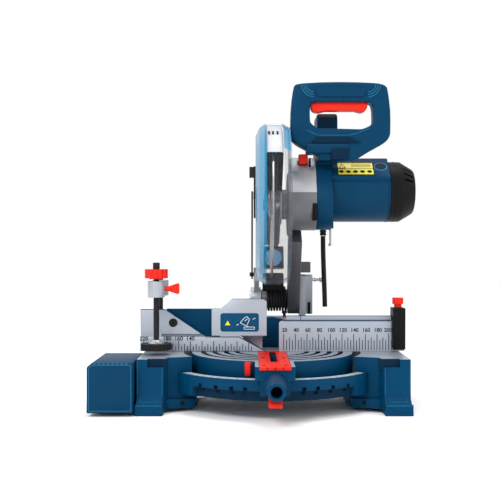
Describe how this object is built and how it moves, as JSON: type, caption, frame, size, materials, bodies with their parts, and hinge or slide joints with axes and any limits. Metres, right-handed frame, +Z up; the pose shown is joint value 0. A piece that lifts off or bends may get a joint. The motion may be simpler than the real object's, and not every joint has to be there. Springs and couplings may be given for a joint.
{
  "type": "mitre saw",
  "caption": "Bench-top compound mitre saw: tilting chop head with guarded blade, motor and D-handle over a turning table with ruled fence, vise and pull-out extension.",
  "frame": {"origin": "centre of the bounding box seen from above, at the level the feet stand on", "axes": "+Z up, -Y towards the operator, +X to the right of the operator, where the motor is"},
  "size_m": [0.544, 0.454, 0.5475],
  "materials": {
    "blue_casting": "blue paint on cast aluminium",
    "blue_plastic": "satin moulded plastic",
    "machined_aluminium": "as cast and machined",
    "dark_casting": "dark grey paint on cast aluminium",
    "red_plastic": "satin moulded plastic",
    "black_plastic": "fine grained moulding",
    "black_steel": "black oxide",
    "zinc_steel": "zinc plated or ground",
    "field_laminations": "laminated steel with copper winding",
    "tinted_clear": "clear blue-tinted moulding",
    "black_rubber": "moulded"
  },
  "bodies": {
    "base": {"base_casting": "blue_casting", "mitre_scale": "machined_aluminium", "mitre_pivot_bolt": "zinc_steel", "fence_casting": "machined_aluminium", "fence_clamp_screw": "black_steel"},
    "sliding_fence": {"sliding_fence": "machined_aluminium"},
    "length_stop": {"length_stop": "black_plastic"},
    "stop_knob": {"stop_knob": "red_plastic"},
    "extension": {"extension_table": "blue_plastic", "extension_rod": "zinc_steel"},
    "vise": {"vise_post": "black_steel", "vise_arm": "machined_aluminium"},
    "vise_wing_screw": {"vise_wing_screw": "red_plastic"},
    "vise_screw": {"vise_spindle": "black_steel", "vise_knob": "red_plastic", "vise_swivel": "zinc_steel", "vise_pad": "black_rubber"},
    "turntable": {"turntable_casting": "blue_casting", "kerf_plate": "red_plastic", "angle_pointer": "red_plastic"},
    "mitre_lock_knob": {"mitre_lock_knob": "blue_plastic"},
    "detent_lever": {"detent_lever": "red_plastic"},
    "tilt_bracket": {"tilt_bracket": "machined_aluminium", "bevel_pivot_bolt": "zinc_steel", "depth_stop_screw": "black_steel", "chop_pivot_shaft": "zinc_steel", "return_spring": "black_steel"},
    "bevel_lock_lever": {"bevel_lock_lever": "black_steel"},
    "lock_pin": {"lock_pin": "zinc_steel"},
    "guard_link": {"guard_link": "black_steel"},
    "head": {"saw_arm": "dark_casting", "gear_housing": "machined_aluminium", "upper_guard": "machined_aluminium", "dust_port": "black_plastic", "laser_module": "black_plastic", "motor_housing": "blue_plastic", "motor_end_cap": "black_plastic", "brush_cap": "black_plastic", "spindle_bearing": "zinc_steel", "armature_bearing": "zinc_steel", "stator": "field_laminations", "handle_front_shell": "blue_plastic", "handle_rear_shell": "blue_plastic", "switch": "black_plastic", "carry_handle": "blue_plastic", "hex_key": "zinc_steel", "cord_gland": "black_rubber", "power_cord": "black_rubber"},
    "trigger": {"trigger": "red_plastic"},
    "spindle_lock_button": {"spindle_lock_button": "red_plastic"},
    "lower_guard": {"lower_guard": "tinted_clear", "guard_hub_plate": "black_steel"},
    "blade": {"saw_blade": "zinc_steel", "inner_flange": "zinc_steel", "outer_flange": "zinc_steel", "arbor_bolt": "zinc_steel", "spindle": "zinc_steel", "spindle_gear": "zinc_steel"},
    "armature": {"armature": "zinc_steel", "cooling_fan": "black_plastic"}
  },
  "joints": [
    {"name": "mitre_swivel", "type": "hinge", "parent": "base", "child": "turntable", "pos_m": [0.022, 0.043, 0.088], "axis": [0, 0, 1], "range_deg": [-47, 47]},
    {"name": "fence_slide", "type": "slide", "parent": "base", "child": "sliding_fence", "axis": [-1, 0, 0], "range_m": [0, 0.13]},
    {"name": "length_stop_slide", "type": "slide", "parent": "base", "child": "length_stop", "axis": [1, 0, 0], "range_m": [-0.15, 0]},
    {"name": "stop_knob_turn", "type": "hinge", "parent": "length_stop", "child": "stop_knob", "pos_m": [0.2385, 0.048, 0.165], "axis": [0, 0, 1], "range_deg": [0, 180]},
    {"name": "extension_slide", "type": "slide", "parent": "base", "child": "extension", "axis": [-1, 0, 0], "range_m": [0, 0.08]},
    {"name": "vise_swing", "type": "hinge", "parent": "base", "child": "vise", "pos_m": [-0.172, 0.069, 0.19], "axis": [0, 0, 1], "range_deg": [-38, 0]},
    {"name": "vise_wing_turn", "type": "hinge", "parent": "vise", "child": "vise_wing_screw", "pos_m": [-0.172, 0.003, 0.1975], "axis": [1, 0, 0], "range_deg": [0, 90]},
    {"name": "vise_screw_travel", "type": "slide", "parent": "vise", "child": "vise_screw", "axis": [0, 0, 1], "range_m": [-0.003, 0.06]},
    {"name": "mitre_lock_turn", "type": "hinge", "parent": "turntable", "child": "mitre_lock_knob", "pos_m": [0.022, -0.157, 0.061], "axis": [0, 1, 0], "range_deg": [0, 180]},
    {"name": "detent_lever_lift", "type": "hinge", "parent": "turntable", "child": "detent_lever", "pos_m": [0.022, -0.141, 0.0435], "axis": [1, 0, 0], "range_deg": [0, 10], "stiffness_Nm_per_rad": 0.6, "springref_deg": -5.73},
    {"name": "bevel_tilt", "type": "hinge", "parent": "turntable", "child": "tilt_bracket", "pos_m": [0.022, 0.155, 0.088], "axis": [0, 1, 0], "range_deg": [-45, 0]},
    {"name": "bevel_lock_turn", "type": "hinge", "parent": "tilt_bracket", "child": "bevel_lock_lever", "pos_m": [0.022, 0.213, 0.088], "axis": [0, 1, 0], "range_deg": [-60, 0]},
    {"name": "lock_pin_pull", "type": "slide", "parent": "tilt_bracket", "child": "lock_pin", "axis": [1, 0, 0], "range_m": [0, 0.012]},
    {"name": "guard_link_swing", "type": "hinge", "parent": "tilt_bracket", "child": "guard_link", "pos_m": [-0.012, 0.157, 0.217], "axis": [1, 0, 0], "range_deg": [0, 45.65]},
    {"name": "chop", "type": "hinge", "parent": "tilt_bracket", "child": "head", "pos_m": [0.022, 0.183, 0.171], "axis": [1, 0, 0], "range_deg": [0, 47.5], "stiffness_Nm_per_rad": 14, "springref_deg": -48.7},
    {"name": "trigger_pull", "type": "slide", "parent": "head", "child": "trigger", "axis": [0, 0, 1], "range_m": [0, 0.005], "stiffness_N_per_m": 400, "springref_m": -0.002},
    {"name": "spindle_lock_push", "type": "slide", "parent": "head", "child": "spindle_lock_button", "axis": [0, 1, 0], "range_m": [0, 0.005], "stiffness_N_per_m": 400, "springref_m": -0.002},
    {"name": "guard_retract", "type": "hinge", "parent": "head", "child": "lower_guard", "pos_m": [0.022, 0.0643, 0.341], "axis": [1, 0, 0], "range_deg": [-111.62, 0]},
    {"name": "blade_spin", "type": "hinge", "parent": "head", "child": "blade", "pos_m": [0.022, 0.0643, 0.341], "axis": [1, 0, 0], "continuous": true},
    {"name": "armature_spin", "type": "hinge", "parent": "head", "child": "armature", "pos_m": [0.022, 0.099, 0.365], "axis": [1, 0, 0], "continuous": true}
  ],
  "couplings": [
    {"joint": "fence_slide", "follows": "bevel_tilt", "m_per_rad": -0.16552},
    {"joint": "vise_swing", "follows": "bevel_tilt", "ratio": 0.84444},
    {"joint": "guard_link_swing", "follows": "chop", "ratio": 0.961},
    {"joint": "guard_retract", "follows": "chop", "ratio": -2.35},
    {"joint": "armature_spin", "follows": "blade_spin", "ratio": -4.1111}
  ]
}
